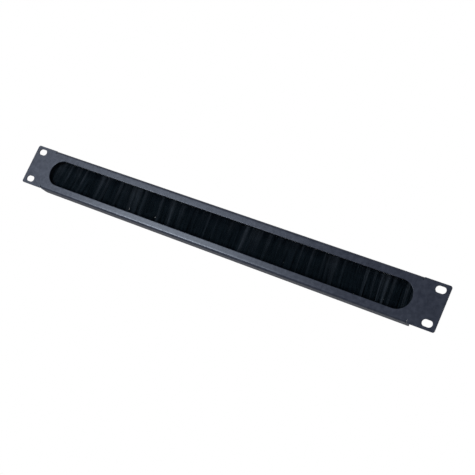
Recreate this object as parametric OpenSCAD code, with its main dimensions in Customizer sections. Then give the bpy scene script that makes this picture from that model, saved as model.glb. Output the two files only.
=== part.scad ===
// Rack brush strip panel, one rack unit high, for a 19-inch rack.
// A folded steel sheet with a long cable slot, filled by a hanging strip brush.
// X runs along the panel, Z is up and the front of the panel faces -Y.
// The origin is the centre of the four rack slots, on the rear face of the ears.

/* [Panel] */
// Overall height, one rack unit less its clearance
panel_h = 44; // [43:0.05:44.45]
// Thickness of the steel sheet
sheet_t = 1.5; // [1.2:0.1:2]
// Radius of the four outer corners
corner_r = 2; // [0.5:0.1:4]

/* [Flanges] */
// Length of the top and bottom flanges, which pass between the rack rails
flange_len = 430; // [427:0.5:445]
// Depth of the flanges, from the front of the panel to their free edge
flange_d = 14; // [13.8:0.1:25]
// Outside radius of the two folds
fold_r = 2.5; // [2.1:0.1:3]
// Radius of the free corners of the flanges
flange_corner_r = 2; // [0.5:0.1:4]
// Width of the slit that frees each end of a fold from the ear
relief_w = 0.4; // [0.2:0.05:1.5]
// Run of that slit past the fold
relief_run = 0.6; // [0.2:0.1:1.5]

/* [Cable slot] */
// Length of the cable slot over its round ends
slot_len = 424; // [200:1:426]
// Height of the cable slot
slot_h = 28; // [20:0.5:28]

/* [Rack slots] */
// Distance between the slots of the two ears, centre to centre
rack_span = 465.12; // [464:0.01:480]
// Distance from the centre of a rack slot to the outer edge of its ear
ear_margin = 8.74; // [7:0.01:16]
// Distance between the two slots of one ear, centre to centre
rack_pitch = 31.75; // [31:0.05:32]
// Length of a rack slot over its round ends
rack_slot_len = 10; // [8:0.1:12]
// Height of a rack slot, for an M6 screw
rack_slot_h = 6.5; // [6.2:0.1:7]

/* [Brush rail] */
// Gap between the rear of the panel and the front wall of the rail
rail_gap = 2.2; // [1:0.1:2.4]
// Thickness of the two walls of the rail
rail_wall = 0.8; // [0.6:0.05:1]
// Thickness of the leg that lies under the top flange
rail_leg_t = 1; // [0.8:0.1:1.2]
// Reach of the leg behind the rail's rear wall
rail_leg_d = 4.5; // [4.2:0.1:4.7]
// Thickness of the two lips that carry the strip
rail_lip_t = 0.7; // [0.5:0.05:1]
// Reach of each lip under the strip
rail_lip = 0.55; // [0.3:0.05:0.6]
// Run of the rail past each end of the flanges
rail_overhang = 3.5; // [0:0.5:4]

/* [Strip brush] */
// Outside width of the crimped channel
strip_w = 3.6; // [3.4:0.1:4]
// Height of the crimped channel
strip_h = 4.1; // [3.8:0.1:4.4]
// Thickness of the channel's steel strip
strip_t = 0.45; // [0.3:0.05:0.5]
// Reach of the crimp into the mouth of the channel, on each side
crimp = 0.25; // [0.1:0.05:0.3]
// Diameter of the wire that the bristles are folded over
wire_d = 1; // [0.8:0.1:1.1]
// Distance from each end of the rail to the strip brush
strip_inset = 0.5; // [0:0.1:2]
// Thickness of the brush at the tips of its bristles
brush_tip_w = 4.2; // [3:0.1:5]
// Length of the bristles that hangs below the cable slot
brush_overlap = 2; // [0.5:0.1:4]

/* [Tufts] */
// Width of a tuft
tuft_pitch = 3.2; // [2.4:0.1:6]
// Widest parting between two tufts, at their tips
parting_w = 0.8; // [0.2:0.05:1]
// Unevenness of the tips
tip_spread = 1.2; // [0:0.1:2]
// Sideways lean of a parting, at the tips
tuft_lean = 0.9; // [0:0.1:1]

/* [Rivets] */
// Number of rivets along the top flange
rivet_count = 5; // [2:1:9]
// Diameter of a rivet's shank
rivet_d = 2.4; // [2:0.1:2.6]
// Diameter of the countersunk head in the top flange
rivet_head_d = 4.2; // [3.6:0.1:4.4]
// Diameter of the formed head under the rail's leg
rivet_tail_d = 4; // [3.4:0.1:4.1]
// Height of the formed head
rivet_tail_h = 1; // [0.6:0.1:1.4]
// Distance from each end of the flange to its first rivet
rivet_inset = 15; // [8:0.5:40]

/* [Fits] */
// Gap between the strip and the rail's walls, on each side
strip_fit = 0.1; // [0.05:0.01:0.2]
// Gap above the strip in the rail
strip_head_gap = 0.2; // [0.05:0.05:0.3]
// Gap between the bristles and the metal round them
bristle_fit = 0.05; // [0.02:0.01:0.1]
// Gap round a rivet's shank and head
rivet_fit = 0.05; // [0.02:0.01:0.1]

/* [Hidden] */
large_fn = 96;
small_fn = 48;
// Overlap of cutting tools past the faces that they cut
past = 1;

// Panel
panel_w = rack_span + 2 * ear_margin;
front_y = -sheet_t;
fold_y = front_y + fold_r;
fold_z = panel_h / 2 - fold_r;
flange_y = front_y + flange_d;
flange_under_z = panel_h / 2 - sheet_t;

// Rail
rail_len = flange_len + 2 * rail_overhang;
rail_room_w = strip_w + 2 * strip_fit;
rail_room_h = strip_h + strip_head_gap;
rail_w = rail_room_w + 2 * rail_wall;
rail_y = rail_gap + rail_w / 2;
rail_back_y = rail_gap + rail_w;
rail_ceiling_z = flange_under_z - rail_leg_t;
rail_floor_z = rail_ceiling_z - rail_room_h;
rail_mouth_z = rail_floor_z - rail_lip_t;

// Strip brush
strip_len = rail_len - 2 * strip_inset;
strip_top_z = rail_floor_z + strip_h;
strip_mouth_w = strip_w - 2 * strip_t - 2 * crimp;
root_w = strip_w - 2 * strip_t - 2 * bristle_fit;
neck_w = strip_mouth_w - 2 * bristle_fit;
wire_z = strip_top_z - strip_t - bristle_fit - root_w / 2;
neck_z = rail_floor_z + strip_t;
tip_z = -slot_h / 2 - brush_overlap;

// Tufts
tuft_count = floor(strip_len / tuft_pitch);
tuft_w = strip_len / tuft_count;
tuft_seed = 20;
// Narrowest parting, as a share of the widest
parting_least = 0.3;
// Rise of the lowest and the highest parting, as shares of the free bristles
rise_least = 0.35;
rise_most = 0.9;
free_h = rail_mouth_z - tip_z;
apex_low_z = tip_z + rise_least * free_h;
apex_high_z = tip_z + rise_most * free_h;

// Rivets
rivet_y = rail_back_y + rail_leg_d / 2;
rivet_run = flange_len - 2 * rivet_inset;
rivet_x = [for (i = [0 : rivet_count - 1]) rivet_run * (i / (rivet_count - 1) - 0.5)];
rivet_sink = (rivet_head_d - rivet_d) / 2;
leg_under_z = flange_under_z - rail_leg_t;

// Extrudes a section of the YZ plane along X, centred
module along_x(length)
    rotate([90, 0, 90])
        linear_extrude(height = length, center = true)
            children();

// Extrudes an outline of the XZ plane from the plane y_back forward
module along_y(y_back, thickness)
    translate([0, y_back, 0])
        rotate([90, 0, 0])
            linear_extrude(height = thickness)
                children();

// Slot with round ends, lying along X
module obround(length, height, facets) {
    square([length - height, height], center = true);
    for (side = [-1, 1])
        translate([side * (length - height) / 2, 0])
            circle(d = height, $fn = facets);
}

module rounded_plate(width, height, radius) {
    square([width, height - 2 * radius], center = true);
    square([width - 2 * radius, height], center = true);
    for (x = [-1, 1], z = [-1, 1])
        translate([x * (width / 2 - radius), z * (height / 2 - radius)])
            circle(r = radius, $fn = small_fn);
}

// Flat face of the panel, without the two strips that fold back
module face_outline() {
    difference() {
        rounded_plate(panel_w, panel_h, corner_r);
        for (side = [-1, 1])
            translate([0, side * (fold_z + fold_r)])
                square([flange_len, 2 * fold_r], center = true);
        for (x = [-1, 1], z = [-1, 1])
            translate([x * (flange_len + relief_w) / 2, z * panel_h / 2])
                square([relief_w, 2 * (fold_r + relief_run)], center = true);
        obround(slot_len, slot_h, large_fn);
        for (x = [-1, 1], z = [-1, 1])
            translate([x * rack_span / 2, z * rack_pitch / 2])
                obround(rack_slot_len, rack_slot_h, small_fn);
    }
}

// Fold and flange at the top of the panel, in the YZ plane
module flange_section() {
    translate([fold_y, fold_z])
        intersection() {
            difference() {
                circle(r = fold_r, $fn = small_fn);
                circle(r = fold_r - sheet_t, $fn = small_fn);
            }
            translate([-fold_r, 0])
                square(fold_r);
        }
    translate([fold_y, flange_under_z])
        square([flange_y - fold_y, sheet_t]);
}

// Takes the sharp free corner off one end of a flange
module flange_corner_cut() {
    translate([-flange_corner_r, -flange_corner_r, -sheet_t - past])
        difference() {
            cube([flange_corner_r + past, flange_corner_r + past, sheet_t + 2 * past]);
            cylinder(r = flange_corner_r, h = sheet_t + 2 * past, $fn = small_fn);
        }
}

module flange() {
    difference() {
        along_x(flange_len)
            flange_section();
        for (side = [-1, 1])
            translate([side * flange_len / 2, flange_y, panel_h / 2])
                mirror([side < 0 ? 1 : 0, 0, 0])
                    flange_corner_cut();
    }
}

// Countersunk holes for the rivets, through the top flange
module rivet_holes_in_flange() {
    for (x = rivet_x)
        translate([x, rivet_y, 0]) {
            translate([0, 0, flange_under_z - past])
                cylinder(d = rivet_d + 2 * rivet_fit, h = sheet_t + 2 * past, $fn = small_fn);
            translate([0, 0, panel_h / 2 - rivet_sink - rivet_fit])
                cylinder(d1 = rivet_d, d2 = rivet_head_d + 2 * rivet_fit,
                         h = rivet_sink + rivet_fit, $fn = small_fn);
        }
}

// One folded sheet: flat ears and face, with a flange along the top and the bottom
module front_panel() {
    color("#2b2c33")
        difference() {
            union() {
                along_y(0, sheet_t)
                    face_outline();
                flange();
                mirror([0, 0, 1])
                    flange();
            }
            rivet_holes_in_flange();
        }
}

module rail_section() {
    difference() {
        translate([rail_gap, rail_mouth_z])
            square([rail_w, flange_under_z - rail_mouth_z]);
        translate([rail_gap + rail_wall, rail_floor_z])
            square([rail_room_w, rail_room_h]);
        translate([rail_gap + rail_wall + rail_lip, rail_mouth_z - past])
            square([rail_room_w - 2 * rail_lip, rail_lip_t + 2 * past]);
    }
    translate([rail_back_y - rail_wall, rail_ceiling_z])
        square([rail_wall + rail_leg_d, rail_leg_t]);
}

// Extruded rail: a lipped channel that grips the strip, and a leg under the top flange
module brush_rail() {
    color("#8e9094")
        difference() {
            along_x(rail_len)
                rail_section();
            for (x = rivet_x)
                translate([x, rivet_y, leg_under_z - past])
                    cylinder(d = rivet_d + 2 * rivet_fit, h = rail_leg_t + 2 * past, $fn = small_fn);
        }
}

// Strip folded to a channel, with its edges crimped onto the bristles
module strip_channel() {
    color("#a9abae")
        along_x(strip_len)
            difference() {
                translate([rail_y - strip_w / 2, rail_floor_z])
                    square([strip_w, strip_h]);
                translate([rail_y - strip_w / 2 + strip_t, neck_z])
                    square([strip_w - 2 * strip_t, strip_h - 2 * strip_t]);
                translate([rail_y - strip_mouth_w / 2, rail_floor_z - past])
                    square([strip_mouth_w, strip_t + 2 * past]);
            }
}

module core_wire() {
    color("#9a9c9f")
        translate([0, rail_y, wire_z])
            rotate([0, 90, 0])
                cylinder(d = wire_d, h = strip_len, center = true, $fn = small_fn);
}

// Bristles inside the channel, folded over the wire, down to the neck at its mouth
module root_section() {
    difference() {
        union() {
            translate([rail_y, wire_z])
                circle(d = root_w, $fn = small_fn);
            translate([rail_y - root_w / 2, neck_z + bristle_fit])
                square([root_w, wire_z - neck_z - bristle_fit]);
            translate([rail_y - neck_w / 2, rail_mouth_z])
                square([neck_w, neck_z + bristle_fit + past - rail_mouth_z]);
        }
        translate([rail_y, wire_z])
            circle(d = wire_d + 2 * bristle_fit, $fn = small_fn);
    }
}

// Points round one row of tufts: a V-shaped parting between each two, with uneven tips.
// The shift, in tufts, moves every parting of the row along.
function tuft_row(seed, shift) =
    let (
        gaps = rands(parting_least * parting_w, parting_w, tuft_count, seed),
        leans = rands(-tuft_lean, tuft_lean, tuft_count, seed + 1),
        drops = rands(-tip_spread / 2, tip_spread / 2, 2 * tuft_count + 2, seed + 2),
        apexes = rands(apex_low_z, apex_high_z, tuft_count, seed + 3)
    )
    concat(
        [[-strip_len / 2, neck_z], [-strip_len / 2, tip_z + drops[0]]],
        [for (i = [1 : tuft_count - 1])
            let (x = (i + shift) * tuft_w - strip_len / 2, foot = x + leans[i])
            for (p = [
                [foot - gaps[i] / 2, tip_z + drops[2 * i]],
                [x, apexes[i]],
                [foot + gaps[i] / 2, tip_z + drops[2 * i + 1]]
            ]) p],
        [[strip_len / 2, tip_z + drops[1]], [strip_len / 2, neck_z]]
    );

// Front (-1) or rear (1) half of the brush's section: straight in the neck, then flared
module flare_section(side) {
    low_z = tip_z - tip_spread;
    polygon([
        [rail_y, neck_z],
        [rail_y + side * neck_w / 2, neck_z],
        [rail_y + side * neck_w / 2, rail_mouth_z],
        [rail_y + side * brush_tip_w / 2, low_z],
        [rail_y, low_z]
    ]);
}

// Two rows of tufts, front and rear, with the partings of one between those of the other
module bristles() {
    color("#101216") {
        along_x(strip_len)
            root_section();
        for (side = [-1, 1])
            intersection() {
                along_y(rail_y + (side > 0 ? brush_tip_w : 0), brush_tip_w)
                    polygon(tuft_row(side + tuft_seed, side > 0 ? 0.5 : 0));
                along_x(strip_len)
                    flare_section(side);
            }
    }
}

// Countersunk head flush in the flange, shank, and the head formed under the leg
module rivet() {
    translate([0, 0, panel_h / 2 - rivet_fit - rivet_sink])
        cylinder(d1 = rivet_d, d2 = rivet_head_d, h = rivet_sink, $fn = small_fn);
    translate([0, 0, leg_under_z])
        cylinder(d = rivet_d, h = panel_h / 2 - rivet_fit - rivet_sink - leg_under_z, $fn = small_fn);
    translate([0, 0, leg_under_z - rivet_tail_h])
        cylinder(d1 = rivet_tail_d - rivet_tail_h, d2 = rivet_tail_d, h = rivet_tail_h / 2, $fn = small_fn);
    translate([0, 0, leg_under_z - rivet_tail_h / 2])
        cylinder(d = rivet_tail_d, h = rivet_tail_h / 2, $fn = small_fn);
}

module rivets() {
    color("#3a3b3f")
        for (x = rivet_x)
            translate([x, rivet_y, 0])
                rivet();
}

front_panel();
brush_rail();
strip_channel();
core_wire();
bristles();
rivets();
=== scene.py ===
# Looks of the rack brush strip panel: coated sheet, filament brush, rail, rivets and studio.
# Lengths are in millimetres, as in the CAD, and are turned to metres where a mesh is made.
# Lights and the floor are in metres. The front faces -Y, and the brush hangs down from the top.
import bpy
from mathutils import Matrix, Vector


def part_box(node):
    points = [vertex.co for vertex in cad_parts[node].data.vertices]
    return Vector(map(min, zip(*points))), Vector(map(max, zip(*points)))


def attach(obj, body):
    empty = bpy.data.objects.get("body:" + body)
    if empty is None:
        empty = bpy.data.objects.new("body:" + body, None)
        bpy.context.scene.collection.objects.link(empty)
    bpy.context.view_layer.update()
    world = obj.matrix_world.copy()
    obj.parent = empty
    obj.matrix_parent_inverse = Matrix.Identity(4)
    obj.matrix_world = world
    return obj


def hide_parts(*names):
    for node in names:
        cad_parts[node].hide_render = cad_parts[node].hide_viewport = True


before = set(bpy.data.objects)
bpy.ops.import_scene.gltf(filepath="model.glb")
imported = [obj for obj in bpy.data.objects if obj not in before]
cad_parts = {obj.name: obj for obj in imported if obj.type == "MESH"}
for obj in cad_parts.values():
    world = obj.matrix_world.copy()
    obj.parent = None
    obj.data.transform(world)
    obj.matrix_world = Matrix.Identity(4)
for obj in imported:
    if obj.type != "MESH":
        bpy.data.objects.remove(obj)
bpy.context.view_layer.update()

import math

import bmesh
import bpy
import numpy as np
from mathutils import Matrix, Vector

MM = 0.001
BODY = "root"


def box_mm(node):
    """Lowest and highest corner of a CAD node, in millimetres."""
    low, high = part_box(node)
    return low / MM, high / MM


# ---------------------------------------------------------------- sizes from the frame

panel_low, panel_high = box_mm("front_panel")
rail_low, rail_high = box_mm("brush_rail")
strip_low, strip_high = box_mm("strip_channel")
wire_low, wire_high = box_mm("core_wire")
brush_low, brush_high = box_mm("bristles")
rivet_low, rivet_high = box_mm("rivets")

HALF_W = panel_high.x
HALF_H = panel_high.z
SHEET_T = -panel_low.y
FLANGE_BACK = panel_high.y
STRIP_Y = (strip_low.y + strip_high.y) / 2
WIRE_Z = (wire_low.z + wire_high.z) / 2
WIRE_R = (wire_high.z - wire_low.z) / 2

# ---------------------------------------------------------------- sizes of the details

# The sheet: these repeat the CAD's values that don't show in its boxes
FOLD_R = 2.5
FLANGE_HALF = 215.0
RELIEF_W = 0.4
RELIEF_RUN = 0.6
CORNER_R = 2.0
SLOT_LEN = 424.0
SLOT_H = 28.0
RACK_SPAN = 465.12
RACK_PITCH = 31.75
RACK_SLOT_LEN = 10.0
RACK_SLOT_H = 6.5
# Rounding of the sheet's cut edges under the coat
SHEET_EDGE_R = 0.25

# The rail and the strip, as in the CAD
RAIL_WALL = 0.8
RAIL_LEG_T = 1.0
RAIL_LIP_T = 0.7
RAIL_LIP = 0.55
STRIP_T = 0.45
STRIP_CRIMP = 0.25
# Room that the wire and the filaments have in the strip, and the rivets in their holes
STRIP_FIT = 0.05
# Rounding of the sawn ends of the rail, the strip and the bundle
METAL_EDGE_R = 0.08

RIVET_COUNT = 5
RIVET_SHANK_R = 1.2
RIVET_TAIL_H = 1.0
# Dome of a rivet's tail: radius and height over its lowest point
RIVET_DOME = ((0, 0), (1.2, 0.05), (1.7, 0.25), (1.93, 0.5), (2.0, 0.75))
# Softened rim of a rivet's head, and the radii and depths of its dimple
RIVET_RIM = 0.08
RIVET_DIMPLE = ((0.9, 0), (0.75, 0.08), (0, 0.15))

# Sides of the round outlines
CORNER_STEPS = 10
SLOT_STEPS = 64
RACK_SLOT_STEPS = 24
SMALL_HOLE_SIDES = 36
RIVET_SIDES = 48
FOLD_STEPS = 8
ROUNDING_STEPS = 4
BUNDLE_STEPS = 24


# ---------------------------------------------------------------- material helpers

def new_material(name):
    """A material with a Principled shader; gives back its tree, shader and object coordinates."""
    mat = bpy.data.materials.new(name)
    mat.use_nodes = True
    tree = mat.node_tree
    tree.nodes.clear()
    out = tree.nodes.new("ShaderNodeOutputMaterial")
    shader = tree.nodes.new("ShaderNodeBsdfPrincipled")
    tree.links.new(shader.outputs["BSDF"], out.inputs["Surface"])
    coord = tree.nodes.new("ShaderNodeTexCoord")
    return mat, tree, shader, coord.outputs["Object"]


def stretched(tree, vector, scale):
    """Coordinates scaled along each axis; a small factor draws a pattern out along that axis."""
    mapping = tree.nodes.new("ShaderNodeMapping")
    mapping.inputs["Scale"].default_value = scale
    tree.links.new(vector, mapping.inputs["Vector"])
    return mapping.outputs["Vector"]


def noise(tree, vector, feature, detail=3.0):
    """Soft noise, from 0 to 1, whose features are about the given size in millimetres."""
    node = tree.nodes.new("ShaderNodeTexNoise")
    node.inputs["Scale"].default_value = 1 / (feature * MM)
    node.inputs["Detail"].default_value = detail
    tree.links.new(vector, node.inputs["Vector"])
    return node.outputs["Fac"]


def ramp(tree, value, *stops):
    """A colour ramp over (position, colour) stops; a plain number is a grey."""
    node = tree.nodes.new("ShaderNodeValToRGB")
    elements = node.color_ramp.elements
    while len(elements) < len(stops):
        elements.new(1.0)
    for element, (position, colour) in zip(elements, stops):
        rgb = colour if isinstance(colour, tuple) else (colour, colour, colour)
        element.position = position
        element.color = (*rgb, 1.0)
    tree.links.new(value, node.inputs["Fac"])
    return node.outputs["Color"]


def arithmetic(tree, operation, first, second):
    """A Math node over two sockets or numbers."""
    node = tree.nodes.new("ShaderNodeMath")
    node.operation = operation
    for socket, value in zip(node.inputs, (first, second)):
        if isinstance(value, (int, float)):
            socket.default_value = value
        else:
            tree.links.new(value, socket)
    return node.outputs[0]


def bump(tree, height, depth, under=None):
    """A bump of the given depth in millimetres, laid over another one if that is given."""
    node = tree.nodes.new("ShaderNodeBump")
    node.inputs["Distance"].default_value = depth * MM
    tree.links.new(height, node.inputs["Height"])
    if under is not None:
        tree.links.new(under, node.inputs["Normal"])
    return node.outputs["Normal"]


# ---------------------------------------------------------------- materials

def powder_coat():
    """Satin blue-black powder coat: cloudy tone, a slow waviness and a fine orange peel."""
    mat, tree, shader, place = new_material("powder_coat")
    cloud = noise(tree, place, 4.0, detail=5.0)
    colour = ramp(tree, cloud, (0.34, (0.0085, 0.0105, 0.0195)), (0.66, (0.0185, 0.0215, 0.0340)))
    tree.links.new(colour, shader.inputs["Base Color"])
    # Seen along the surface, the coat is rougher, as its fine texture hides its gloss
    facing = tree.nodes.new("ShaderNodeLayerWeight")
    facing.inputs["Blend"].default_value = 0.5
    slant = arithmetic(tree, "POWER", facing.outputs["Facing"], 3.0)
    satin = ramp(tree, noise(tree, place, 3.0), (0.3, 0.23), (0.7, 0.29))
    rough = arithmetic(tree, "MULTIPLY", slant, 0.6)
    tree.links.new(arithmetic(tree, "ADD", satin, rough), shader.inputs["Roughness"])
    wave = bump(tree, noise(tree, place, 4.5, detail=1.0), 0.03)
    peel = bump(tree, noise(tree, place, 0.7, detail=2.0), 0.012, under=wave)
    tree.links.new(peel, shader.inputs["Normal"])
    shader.inputs["Specular IOR Level"].default_value = 0.2
    shader.inputs["Specular Tint"].default_value = (0.74, 0.85, 1.0, 1.0)
    return mat


def nylon():
    """Black nylon filament, with each one a little lighter or darker than the next; its tone attribute
    also carries painted light, lighter near the roots and on a few tufts.
    """
    mat, tree, shader, place = new_material("bristle_nylon")
    # The tone attribute is random tone plus, on the filaments, painted light
    tone = tree.nodes.new("ShaderNodeAttribute")
    tone.attribute_name = "tone"
    colour = ramp(tree, tone.outputs["Fac"], (0.0, (0.0008, 0.0020, 0.0036)),
                  (0.5, (0.0022, 0.0042, 0.0070)), (1.0, (0.0230, 0.0290, 0.0380)))
    tree.links.new(colour, shader.inputs["Base Color"])
    streak = noise(tree, stretched(tree, place, (1.0, 1.0, 0.05)), 0.4)
    tree.links.new(ramp(tree, streak, (0.3, 0.42), (0.7, 0.58)), shader.inputs["Roughness"])
    shader.inputs["Specular IOR Level"].default_value = 0.05
    shader.inputs["Specular Tint"].default_value = (0.5, 0.8, 1.0, 1.0)
    return mat


def extruded_aluminium():
    """Mill-finish aluminium with faint die lines along its length."""
    mat, tree, shader, place = new_material("rail_aluminium")
    lines = noise(tree, stretched(tree, place, (0.01, 1.0, 1.0)), 0.25)
    cloud = noise(tree, place, 20.0)
    colour = ramp(tree, cloud, (0.3, (0.50, 0.51, 0.52)), (0.7, (0.62, 0.63, 0.64)))
    tree.links.new(colour, shader.inputs["Base Color"])
    tree.links.new(ramp(tree, lines, (0.3, 0.30), (0.7, 0.44)), shader.inputs["Roughness"])
    tree.links.new(bump(tree, lines, 0.01), shader.inputs["Normal"])
    shader.inputs["Metallic"].default_value = 1.0
    return mat


def zinc_steel():
    """Zinc-plated steel: cool grey with a faint spangle."""
    mat, tree, shader, place = new_material("strip_steel")
    spangle = tree.nodes.new("ShaderNodeTexVoronoi")
    spangle.inputs["Scale"].default_value = 350.0
    tree.links.new(place, spangle.inputs["Vector"])
    tone = ramp(tree, spangle.outputs["Color"], (0.0, (0.40, 0.41, 0.43)), (1.0, (0.56, 0.57, 0.58)))
    tree.links.new(tone, shader.inputs["Base Color"])
    haze = noise(tree, place, 2.0)
    tree.links.new(ramp(tree, haze, (0.3, 0.32), (0.7, 0.46)), shader.inputs["Roughness"])
    shader.inputs["Metallic"].default_value = 1.0
    return mat


def blackened_steel():
    """Black-oxide steel of the rivets, worn a little lighter in patches."""
    mat, tree, shader, place = new_material("rivet_steel")
    wear = noise(tree, place, 0.8, detail=4.0)
    colour = ramp(tree, wear, (0.4, (0.030, 0.031, 0.035)), (0.72, (0.085, 0.086, 0.090)))
    tree.links.new(colour, shader.inputs["Base Color"])
    tree.links.new(ramp(tree, wear, (0.3, 0.50), (0.7, 0.36)), shader.inputs["Roughness"])
    shader.inputs["Metallic"].default_value = 0.6
    return mat


def pale_floor():
    """Pale floor with the object's shadow, seen by the camera alone and only from above."""
    mat = bpy.data.materials.new("pale_floor")
    mat.use_nodes = True
    tree = mat.node_tree
    tree.nodes.clear()
    out = tree.nodes.new("ShaderNodeOutputMaterial")
    clear = tree.nodes.new("ShaderNodeBsdfTransparent")
    pale = tree.nodes.new("ShaderNodeBsdfDiffuse")
    glow = tree.nodes.new("ShaderNodeEmission")
    both = tree.nodes.new("ShaderNodeAddShader")
    mix = tree.nodes.new("ShaderNodeMixShader")
    path = tree.nodes.new("ShaderNodeLightPath")
    side = tree.nodes.new("ShaderNodeNewGeometry")
    coord = tree.nodes.new("ShaderNodeTexCoord")
    tint = noise(tree, coord.outputs["Object"], 300.0)
    tree.links.new(ramp(tree, tint, (0.3, 0.58), (0.7, 0.62)), pale.inputs["Color"])
    glow.inputs["Strength"].default_value = 0.48
    tree.links.new(pale.outputs[0], both.inputs[0])
    tree.links.new(glow.outputs[0], both.inputs[1])
    above = arithmetic(tree, "SUBTRACT", 1.0, side.outputs["Backfacing"])
    seen = arithmetic(tree, "MULTIPLY", above, path.outputs["Is Camera Ray"])
    tree.links.new(seen, mix.inputs["Fac"])
    tree.links.new(clear.outputs[0], mix.inputs[1])
    tree.links.new(both.outputs[0], mix.inputs[2])
    tree.links.new(mix.outputs[0], out.inputs["Surface"])
    return mat


# ---------------------------------------------------------------- mesh helpers

def add_piece(name, mesh, material, node):
    """Puts a finished mesh into the scene in place of a CAD node."""
    mesh.name = name
    mesh.materials.clear()
    mesh.materials.append(material)
    piece = bpy.data.objects.new(name, mesh)
    bpy.context.scene.collection.objects.link(piece)
    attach(piece, BODY)
    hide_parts(node)
    return piece


def keep_flats_flat(piece):
    """Smooth edges whose roundings don't bend the shading of the flat faces beside them."""
    piece.data.shade_smooth()
    weighted = piece.modifiers.new("flat faces", "WEIGHTED_NORMAL")
    weighted.weight = 100


def arc(centre, radius, start, end, steps):
    """Points of an arc, from one angle to another in degrees, with both ends."""
    angles = [math.radians(start + (end - start) * i / steps) for i in range(steps + 1)]
    return [(centre[0] + radius * math.cos(a), centre[1] + radius * math.sin(a)) for a in angles]


def ring(centre, radius, steps):
    """Points of a full circle, each one once."""
    return arc(centre, radius, 0, 360 * (1 - 1 / steps), steps - 1)


def obround(centre, length, height, steps):
    """Outline of a slot with round ends, lying along the first axis."""
    reach = (length - height) / 2
    right = arc((centre[0] + reach, centre[1]), height / 2, -90, 90, steps)
    left = arc((centre[0] - reach, centre[1]), height / 2, 90, 270, steps)
    return right + left


def rounded(corners):
    """Outline through (u, v, cut) corners, each rounded off from the cut's distance on."""
    outline = []
    for i, (u, v, cut) in enumerate(corners):
        here = Vector((u, v))
        start = here + (Vector(corners[i - 1][:2]) - here).normalized() * cut
        end = here + (Vector(corners[(i + 1) % len(corners)][:2]) - here).normalized() * cut
        for k in range(ROUNDING_STEPS + 1):
            t = k / ROUNDING_STEPS
            outline.append(tuple(start * (1 - t) ** 2 + here * 2 * t * (1 - t) + end * t ** 2))
    return outline


def slab(outlines, half, edge_r):
    """Mesh of filled outlines in the XY plane, as thick as twice the half, with rounded edges."""
    curve = bpy.data.curves.new("slab", "CURVE")
    curve.dimensions = "2D"
    curve.fill_mode = "BOTH"
    curve.extrude = half - edge_r
    curve.bevel_depth = edge_r
    curve.bevel_resolution = 2
    curve.offset = -edge_r
    for outline in outlines:
        spline = curve.splines.new("POLY")
        spline.points.add(len(outline) - 1)
        for point, (u, v) in zip(spline.points, outline):
            point.co = (u, v, 0.0, 1.0)
        spline.use_cyclic_u = True
    holder = bpy.data.objects.new("slab", curve)
    bpy.context.scene.collection.objects.link(holder)
    graph = bpy.context.evaluated_depsgraph_get()
    mesh = bpy.data.meshes.new_from_object(holder.evaluated_get(graph))
    bpy.data.objects.remove(holder)
    bpy.data.curves.remove(curve)
    return mesh


def finish_mesh(mesh, place, cuts=()):
    """Welds a mesh, cuts it at levels of its second axis and moves each vertex by a function."""
    weld = 0.001
    bm = bmesh.new()
    bm.from_mesh(mesh)
    bmesh.ops.remove_doubles(bm, verts=bm.verts, dist=weld)
    for level in cuts:
        bmesh.ops.bisect_plane(bm, geom=bm.verts[:] + bm.edges[:] + bm.faces[:], dist=weld / 2,
                               plane_co=(0, level, 0), plane_no=(0, 1, 0))
    for vert in bm.verts:
        vert.co = Vector(place(*vert.co)) * MM
    bmesh.ops.recalc_face_normals(bm, faces=bm.faces)
    bm.to_mesh(mesh)
    bm.free()
    return mesh


def along_x(outlines, half_len):
    """A section in the YZ plane, drawn out along X to both sides."""
    return finish_mesh(slab(outlines, half_len, METAL_EDGE_R), lambda y, z, x: (x, y, z))


# ---------------------------------------------------------------- the folded sheet

# The sheet's middle surface, as a flat blank that folds back at the top and the bottom
FOLD_Y = FOLD_R - SHEET_T
FOLD_Z = HALF_H - FOLD_R
MIDDLE_R = FOLD_R - SHEET_T / 2
FOLD_RUN = MIDDLE_R * math.pi / 2
BLANK_HALF_H = FOLD_Z + FOLD_RUN + FLANGE_BACK - FOLD_Y
RIVET_R = (rivet_high.y - rivet_low.y) / 2
RIVET_Y = (rivet_high.y + rivet_low.y) / 2
RIVET_REACH = rivet_high.x - RIVET_R


def rivet_places():
    """Places of the rivets along X, evenly spread."""
    return [RIVET_REACH * (2 * i / (RIVET_COUNT - 1) - 1) for i in range(RIVET_COUNT)]


def blank_outline():
    """Outline of the blank, from its upper right quarter by two mirrorings."""
    slit_z = FOLD_Z - RELIEF_RUN
    slit_x = FLANGE_HALF + RELIEF_W
    flange_corner = (FLANGE_HALF - CORNER_R, BLANK_HALF_H - CORNER_R)
    quarter = arc((HALF_W - CORNER_R, HALF_H - CORNER_R), CORNER_R, 0, 90, CORNER_STEPS)
    quarter += [(slit_x, HALF_H), (slit_x, slit_z), (FLANGE_HALF, slit_z)]
    quarter += arc(flange_corner, CORNER_R, 0, 90, CORNER_STEPS)
    upper = quarter + [(-x, z) for x, z in reversed(quarter)]
    return upper + [(x, -z) for x, z in reversed(upper)]


def blank_holes():
    """Outlines of every hole in the flat blank."""
    holes = [obround((0, 0), SLOT_LEN, SLOT_H, SLOT_STEPS)]
    for side in (-1, 1):
        for level in (-1, 1):
            centre = (side * RACK_SPAN / 2, level * RACK_PITCH / 2)
            holes.append(obround(centre, RACK_SLOT_LEN, RACK_SLOT_H, RACK_SLOT_STEPS))
    rivet_level = FOLD_Z + FOLD_RUN + RIVET_Y - FOLD_Y
    for x in rivet_places():
        holes.append(ring((x, rivet_level), RIVET_R + STRIP_FIT, SMALL_HOLE_SIDES))
    return holes


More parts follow.
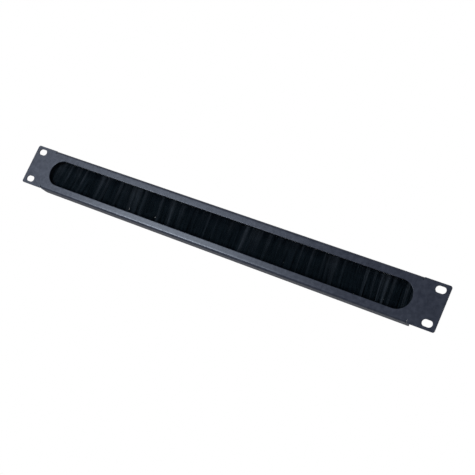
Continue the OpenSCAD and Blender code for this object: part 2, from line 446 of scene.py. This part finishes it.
def folded(x, s, n):
    """Place of a point of the flat blank once it is folded: s up the sheet, n out of its face."""
    rise = abs(s) - FOLD_Z
    if rise <= 0 or abs(x) > FLANGE_HALF + RELIEF_W / 2:
        return (x, -SHEET_T / 2 - n, s)
    up = math.copysign(1.0, s)
    if rise < FOLD_RUN:
        angle = rise / MIDDLE_R
        reach = MIDDLE_R + n
        return (x, FOLD_Y - reach * math.cos(angle), up * (FOLD_Z + reach * math.sin(angle)))
    return (x, FOLD_Y + rise - FOLD_RUN, up * (FOLD_Z + MIDDLE_R + n))


def folded_sheet(material):
    """The panel: a flat blank with its holes, folded along the top and the bottom."""
    blank = slab([blank_outline()] + blank_holes(), SHEET_T / 2, SHEET_EDGE_R)
    levels = [FOLD_Z + FOLD_RUN * i / FOLD_STEPS for i in range(FOLD_STEPS + 1)]
    mesh = finish_mesh(blank, folded, cuts=levels + [-level for level in levels])
    keep_flats_flat(add_piece("panel_sheet", mesh, material, "front_panel"))


# ---------------------------------------------------------------- the rail, the strip and the rivets

def rail_outline():
    """Section of the rail: a lipped channel, with a leg that lies under the top flange."""
    front, low, top = rail_low.y, rail_low.z, rail_high.z
    back = front + 2 * (STRIP_Y - front)
    leg_back, leg_low = rail_high.y, top - RAIL_LEG_T
    room_front, room_back, floor = front + RAIL_WALL, back - RAIL_WALL, low + RAIL_LIP_T
    mouth_front, mouth_back = room_front + RAIL_LIP, room_back - RAIL_LIP
    # How far each corner's rounding starts from it
    sharp, lip, bend, shoulder = 0.1, 0.2, 0.3, 0.4
    return rounded([
        (front, low, bend), (mouth_front, low, lip),
        (mouth_front, floor, sharp), (room_front, floor, sharp),
        (room_front, leg_low, bend), (room_back, leg_low, bend),
        (room_back, floor, sharp), (mouth_back, floor, sharp),
        (mouth_back, low, lip), (back, low, bend), (back, leg_low, bend),
        (leg_back, leg_low, lip), (leg_back, top, lip), (front, top, shoulder),
    ])


def brush_rail(material):
    """The extruded rail, as long as in the CAD."""
    mesh = along_x([rail_outline()], rail_high.x)
    keep_flats_flat(add_piece("rail_extrusion", mesh, material, "brush_rail"))


def strip_outline():
    """Section of the strip: steel bent to a channel, with its two edges crimped inwards."""
    front, back, low, top = strip_low.y, strip_high.y, strip_low.z, strip_high.z
    lip = STRIP_T + STRIP_CRIMP
    inner_low, inner_top = low + STRIP_T, top - STRIP_T
    # How far each corner's rounding starts from it
    sharp, rim, inner_bend, outer_bend = 0.1, 0.15, 0.5, 0.9
    return rounded([
        (front, low, inner_bend), (front + lip, low, rim), (front + lip, inner_low, sharp),
        (front + STRIP_T, inner_low, sharp), (front + STRIP_T, inner_top, inner_bend),
        (back - STRIP_T, inner_top, inner_bend), (back - STRIP_T, inner_low, sharp),
        (back - lip, inner_low, sharp), (back - lip, low, rim), (back, low, inner_bend),
        (back, top, outer_bend), (front, top, outer_bend),
    ])


def strip_channel(material):
    """The steel strip that is crimped onto the bundle of filaments."""
    mesh = along_x([strip_outline()], strip_high.x)
    keep_flats_flat(add_piece("strip_folded", mesh, material, "strip_channel"))


def turned(profile, centres, sides):
    """Solids of revolution about Z: one (radius, height) profile, at each centre."""
    bm = bmesh.new()
    for centre in centres:
        rings = []
        for radius, height in profile:
            spots = ring(centre, radius, sides) if radius else [centre]
            rings.append([bm.verts.new(Vector((*spot, height)) * MM) for spot in spots])
        for low, high in zip(rings, rings[1:]):
            for i in range(sides):
                corners = [low[i % len(low)], low[(i + 1) % len(low)],
                           high[(i + 1) % len(high)], high[i % len(high)]]
                bm.faces.new(list(dict.fromkeys(corners)))
    bmesh.ops.recalc_face_normals(bm, faces=bm.faces)
    mesh = bpy.data.meshes.new("turned")
    bm.to_mesh(mesh)
    bm.free()
    return mesh


def rivets(material):
    """Countersunk rivets: a flush head with a shallow dimple, and a tail formed under the leg."""
    top, tail_low = rivet_high.z, rivet_low.z
    sink = RIVET_R - RIVET_SHANK_R
    leg_low = tail_low + RIVET_TAIL_H
    tail = [(radius, tail_low + rise) for radius, rise in RIVET_DOME]
    shank = [(tail[-1][0], leg_low), (RIVET_SHANK_R, leg_low), (RIVET_SHANK_R, top - sink)]
    head = [(RIVET_R, top - RIVET_RIM), (RIVET_R - RIVET_RIM, top)]
    dimple = [(radius, top - depth) for radius, depth in RIVET_DIMPLE]
    centres = [(x, RIVET_Y) for x in rivet_places()]
    mesh = turned(tail + shank + head + dimple, centres, RIVET_SIDES)
    keep_flats_flat(add_piece("rivet_set", mesh, material, "rivets"))


# ---------------------------------------------------------------- the brush

BRUSH_HALF = brush_high.x
NECK_Z = rail_low.z
# Filaments start inside the bundle, over the strip's mouth, and end over the lowest tip of the CAD
ROOT_Z = strip_low.z + 1.2
TIP_Z = brush_low.z + 0.8
# Half widths of the brush where it leaves the strip, and at its tips
NECK_HALF = (strip_high.y - strip_low.y) / 2 - STRIP_T - STRIP_CRIMP - STRIP_FIT
TIP_HALF = (brush_high.y - brush_low.y) / 2
FILAMENT_R = 0.11
FILAMENT_SIDES = 3
# Places of a filament's rings, as shares of its length from the root, and the painted light added to
# its tone there: painted light lifts it near the root, against the shade of the rail and the slot's
# edge, and a little painted shade darkens the tip
FILAMENT_RINGS = (0.0, 0.35, 0.7, 1.0)
RING_PAINTED_LIGHT = (0.30, 0.15, 0.0, -0.02)
# How a filament's lean grows along it, and how far it sways along and across the strip
LEAN_POWER = 1.3
SWAY = 0.22
SWAY_SHARES = (1.0, 0.4)
# Spread of single roots along X, and of single tips along X and Y
ROOT_SPREAD = 0.05
TIP_SPREAD = (0.22, 0.1)
# Uneven trim of the tips
TRIM = (-0.35, 0.6)
# Share of filaments that stray to the side, and how far
STRAY_SHARE = 0.012
STRAY_REACH = 2.5
# Tones run from 0, black, to 1: what a tuft and a single filament add at most, and the bundle's
TUFT_TONE = 0.45
FILAMENT_TONE = 0.4
BUNDLE_TONE = 0.4
TUFT_W = 3.2
# How unevenly the tufts are parted, as a share of their width
TUFT_JITTER = 0.35
# Slope of the brush, in degrees to the right going down, at places along the strip
BRUSH_LEAN = ((-218, -3), (-150, -2), (-85, 11), (-30, 5), (40, 3), (155, 9), (218, 3))
# Painted highlights on tufts, as if they caught the light: place, width and how much lighter they are
# painted
PAINTED_HIGHLIGHT_TUFTS = ((-148, 3, 0.35), (-141, 2.5, 0.3), (-54, 5, 0.2), (-10, 3, 0.3), (33, 4, 0.35),
             (120, 2, 0.3), (178, 2, 0.3), (185, 2.5, 0.6), (191, 2, 0.45), (204, 3, 0.3))
# Layers of filaments: name, seed, count, depths from -1 at the front to 1 at the rear, and how
# strongly their tufts gather. The middle layer closes the partings of the other two.
BRUSH_LAYERS = (
    ("bristles_front", 11, 7000, -1.0, -0.3, 1.0),
    ("bristles_middle", 12, 9500, -0.3, 0.3, 0.1),
    ("bristles_rear", 13, 7000, 0.3, 1.0, 1.0),
)


def root_outlines():
    """Section of the bundle inside the strip: filaments folded over the wire, and its round hole."""
    half = brush_high.z - WIRE_Z
    inner_low = strip_low.z + STRIP_T + STRIP_FIT
    over = arc((STRIP_Y, WIRE_Z), half, 0, 180, BUNDLE_STEPS)
    under = [(-half, inner_low), (-NECK_HALF, inner_low), (-NECK_HALF, NECK_Z),
             (NECK_HALF, NECK_Z), (NECK_HALF, inner_low), (half, inner_low)]
    bundle = over + [(STRIP_Y + y, z) for y, z in under]
    return [bundle, ring((STRIP_Y, WIRE_Z), WIRE_R + STRIP_FIT, SMALL_HOLE_SIDES)]


def set_tones(mesh, values):
    """Stores a tone for each vertex, which the nylon reads; the filaments' tones include painted light.
    """
    tone = mesh.attributes.new("tone", "FLOAT", "POINT")
    tone.data.foreach_set("value", values.astype(np.float32))


def bristle_root(material):
    """The bundle of folded filaments inside the strip, which shows at the strip's ends."""
    mesh = along_x(root_outlines(), BRUSH_HALF)
    set_tones(mesh, np.full(len(mesh.vertices), BUNDLE_TONE))
    keep_flats_flat(add_piece("bristle_root", mesh, material, "bristles"))


def tuft_values(rng, edges, index):
    """Random character of each tuft, in millimetres but for shares, dealt out to its filaments."""
    values = {
        "middle": edges + TUFT_W / 2,
        "side": rng.normal(0.0, 0.45, len(edges)),
        "depth": rng.normal(0.0, 0.25, len(edges)),
        "drop": rng.uniform(-0.4, 0.4, len(edges)),
        "gather": rng.uniform(0.1, 0.45, len(edges)),
        "tone": rng.uniform(0.0, 1.0, len(edges)) ** 2,
    }
    return {name: dealt[index] for name, dealt in values.items()}


def painted_highlight(x):
    """Painted highlight: how much lighter the brush is painted at places along the strip."""
    gain = np.zeros_like(x)
    for place, width, lift in PAINTED_HIGHLIGHT_TUFTS:
        gain = np.maximum(gain, lift * np.exp(-((x - place) / (0.5 * width)) ** 2))
    return gain


def filament_layer(rng, count, depth_low, depth_high, gathering):
    """Roots, tips and tones of the filaments between two depths, the tones with painted highlights on
    some tufts.
    """
    limit = BRUSH_HALF - FILAMENT_R
    tip_limit = TIP_HALF - FILAMENT_R
    x = np.linspace(-limit, limit, count) + rng.normal(0, ROOT_SPREAD, count)
    x = np.clip(x, -limit, limit)
    depth = rng.uniform(depth_low, depth_high, count)
    edges = np.arange(-BRUSH_HALF - TUFT_W, BRUSH_HALF + TUFT_W, TUFT_W)
    edges = edges + rng.uniform(-TUFT_JITTER, TUFT_JITTER, len(edges)) * TUFT_W
    index = np.clip(np.searchsorted(edges, x) - 1, 0, len(edges) - 1)
    tuft = tuft_values(rng, edges, index)
    places, slopes = zip(*BRUSH_LEAN)
    lean = np.tan(np.radians(np.interp(x, places, slopes))) * (ROOT_Z - TIP_Z)
    gather = ((tuft["middle"] - x) * tuft["gather"] + tuft["side"]) * gathering
    stray = (rng.random(count) < STRAY_SHARE) * rng.normal(0, STRAY_REACH, count)
    tip_x = x + lean + gather + stray + rng.normal(0, TIP_SPREAD[0], count)
    tip_y = depth * TIP_HALF + tuft["depth"] * gathering + rng.normal(0, TIP_SPREAD[1], count)
    tip_y = STRIP_Y + np.clip(tip_y, -tip_limit, tip_limit)
    tip_z = TIP_Z + tuft["drop"] + rng.uniform(*TRIM, count)
    root_y = STRIP_Y + depth * (NECK_HALF - FILAMENT_R)
    roots = np.stack([x, root_y, np.full(count, ROOT_Z)], 1)
    tips = np.stack([np.clip(tip_x, -limit, limit), tip_y, tip_z], 1)
    # The painted highlight of a tuft sits halfway down, where the lean has carried it half its way
    tones_with_painted_light = TUFT_TONE * tuft["tone"] + rng.uniform(0, FILAMENT_TONE, count) + painted_highlight(x + lean / 2)
    return roots, tips, tones_with_painted_light


def filament_faces():
    """Side and end faces of one filament, as places in its list of vertices."""
    per = len(FILAMENT_RINGS) * FILAMENT_SIDES
    sides = []
    for low in range(0, per - FILAMENT_SIDES, FILAMENT_SIDES):
        high = low + FILAMENT_SIDES
        for side in range(FILAMENT_SIDES):
            after = (side + 1) % FILAMENT_SIDES
            sides.append((low + side, high + side, high + after, low + after))
    ends = [range(FILAMENT_SIDES), range(per - 1, per - FILAMENT_SIDES - 1, -1)]
    return np.array(sides), np.array(ends)


def filament_mesh(rng, roots, tips, tones_with_painted_light):
    """One closed thin prism for each filament, which leans more and more below the neck."""
    count = len(roots)
    ways = np.array(FILAMENT_RINGS)
    span = tips - roots
    sway = rng.normal(0, SWAY, (count, 2)) * SWAY_SHARES
    points = np.empty((count, len(ways), 3))
    points[:, :, 2] = roots[:, None, 2] + span[:, None, 2] * ways
    for axis in (0, 1):
        swing = span[:, None, axis] * ways ** LEAN_POWER
        points[:, :, axis] = roots[:, None, axis] + swing + sway[:, None, axis] * np.sin(math.pi * ways)
    limit = BRUSH_HALF - FILAMENT_R
    points[:, :, 0] = np.clip(points[:, :, 0], -limit, limit)
    turns = np.arange(FILAMENT_SIDES) * 2 * math.pi / FILAMENT_SIDES
    angles = rng.uniform(0, 2 * math.pi, count)[:, None] + turns
    around = np.stack([np.cos(angles), np.sin(angles), np.zeros_like(angles)], 2) * FILAMENT_R
    verts = points[:, :, None, :] + around[:, None, :, :]
    sides, ends = filament_faces()
    first = (np.arange(count) * len(ways) * FILAMENT_SIDES)[:, None, None]
    quads = (sides + first).reshape(-1, 4)
    caps = (ends + first).reshape(-1, FILAMENT_SIDES)
    mesh = bpy.data.meshes.new("filaments")
    mesh.from_pydata((verts.reshape(-1, 3) * MM).tolist(), [], quads.tolist() + caps.tolist())
    # Painted light along each filament: lighter near the root, a little painted shade at the tip
    tones_with_painted_ring_light = tones_with_painted_light[:, None] + np.array(RING_PAINTED_LIGHT)
    set_tones(mesh, np.repeat(tones_with_painted_ring_light.clip(0, 1).ravel(), FILAMENT_SIDES))
    mesh.polygons.foreach_set("use_smooth", np.arange(len(mesh.polygons)) < len(quads))
    return mesh


def brush(material):
    """The bundle in the strip, and the layers of filaments that hang from it."""
    bristle_root(material)
    for name, seed, *layer in BRUSH_LAYERS:
        rng = np.random.default_rng(seed)
        mesh = filament_mesh(rng, *filament_layer(rng, *layer))
        add_piece(name, mesh, material, "bristles")


# ---------------------------------------------------------------- camera and light

CAMERA_AZIMUTH = math.radians(28.3)
CAMERA_ELEVATION = math.radians(-8.8)
CAMERA_ROLL = math.radians(24.3)
CAMERA_DISTANCE = 935
CAMERA_TARGET = Vector((29.6, -SHEET_T, -0.9))
# Focal length, in widths of the picture
CAMERA_FOCAL = 2.0526


def outward(azimuth, elevation):
    """Direction out of the panel's front: azimuth 0 is straight ahead, and right is positive."""
    level = math.cos(elevation)
    return Vector((math.sin(azimuth) * level, -math.cos(azimuth) * level, math.sin(elevation)))


def make_camera():
    """Camera on the right, a little below the panel, and rolled."""
    back = outward(CAMERA_AZIMUTH, CAMERA_ELEVATION)
    level = (-back).cross(Vector((0, 0, 1))).normalized()
    upright = level.cross(-back)
    right = math.cos(CAMERA_ROLL) * level + math.sin(CAMERA_ROLL) * upright
    above = math.cos(CAMERA_ROLL) * upright - math.sin(CAMERA_ROLL) * level
    turn = Matrix((right, above, back)).transposed().to_4x4()
    data = bpy.data.cameras.new("camera")
    data.lens = CAMERA_FOCAL * data.sensor_width
    camera = bpy.data.objects.new("camera", data)
    camera.matrix_world = Matrix.Translation((CAMERA_TARGET + back * CAMERA_DISTANCE) * MM) @ turn
    bpy.context.scene.collection.objects.link(camera)
    bpy.context.scene.camera = camera


def soft_light(name, azimuth, elevation, distance, size, power):
    """A rectangular light that faces the panel, placed by angles in degrees and metres."""
    place = outward(math.radians(azimuth), math.radians(elevation)) * distance
    data = bpy.data.lights.new(name, "AREA")
    data.shape = "RECTANGLE"
    data.size, data.size_y = size
    data.energy = power
    light = bpy.data.objects.new(name, data)
    light.location = place
    light.rotation_euler = (-place).to_track_quat("-Z", "Y").to_euler()
    bpy.context.scene.collection.objects.link(light)


def make_world(level):
    """White to the camera and in reflections, and a softer level as a light."""
    world = bpy.data.worlds.new("studio")
    bpy.context.scene.world = world
    world.use_nodes = True
    tree = world.node_tree
    tree.nodes.clear()
    out = tree.nodes.new("ShaderNodeOutputWorld")
    white = tree.nodes.new("ShaderNodeBackground")
    white.inputs["Color"].default_value = (1, 1, 1, 1)
    soft = tree.nodes.new("ShaderNodeBackground")
    soft.inputs["Color"].default_value = (0.97, 0.98, 1.0, 1)
    soft.inputs["Strength"].default_value = level
    path = tree.nodes.new("ShaderNodeLightPath")
    mix = tree.nodes.new("ShaderNodeMixShader")
    seen = arithmetic(tree, "MAXIMUM", path.outputs["Is Camera Ray"], path.outputs["Is Glossy Ray"])
    seen = arithmetic(tree, "MAXIMUM", seen, path.outputs["Is Transmission Ray"])
    tree.links.new(seen, mix.inputs["Fac"])
    tree.links.new(soft.outputs[0], mix.inputs[1])
    tree.links.new(white.outputs[0], mix.inputs[2])
    tree.links.new(mix.outputs[0], out.inputs["Surface"])


def make_floor():
    """A wide floor just under the panel, which is no part of it."""
    half = 3.0
    gap = 0.1
    level = (panel_low.z - gap) * MM
    corners = [(-half, -half, level), (half, -half, level), (half, half, level), (-half, half, level)]
    mesh = bpy.data.meshes.new("floor")
    mesh.from_pydata(corners, [], [(0, 1, 2, 3)])
    mesh.materials.append(pale_floor())
    floor = bpy.data.objects.new("floor", mesh)
    bpy.context.scene.collection.objects.link(floor)


# ---------------------------------------------------------------- build

bpy.context.scene.view_settings.view_transform = "Standard"
make_camera()
make_world(0.42)
make_floor()
soft_light("key", azimuth=-33.5, elevation=-3.0, distance=1.2, size=(0.3, 0.3), power=13.5)
soft_light("side", azimuth=-45, elevation=14, distance=1.2, size=(1.0, 0.2), power=2.4)
soft_light("low_front", azimuth=10, elevation=-22, distance=1.2, size=(0.6, 0.4), power=2.0)

steel = zinc_steel()
folded_sheet(powder_coat())
brush_rail(extruded_aluminium())
strip_channel(steel)
rivets(blackened_steel())
brush(nylon())

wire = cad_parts["core_wire"]
wire.data.materials.clear()
wire.data.materials.append(steel)
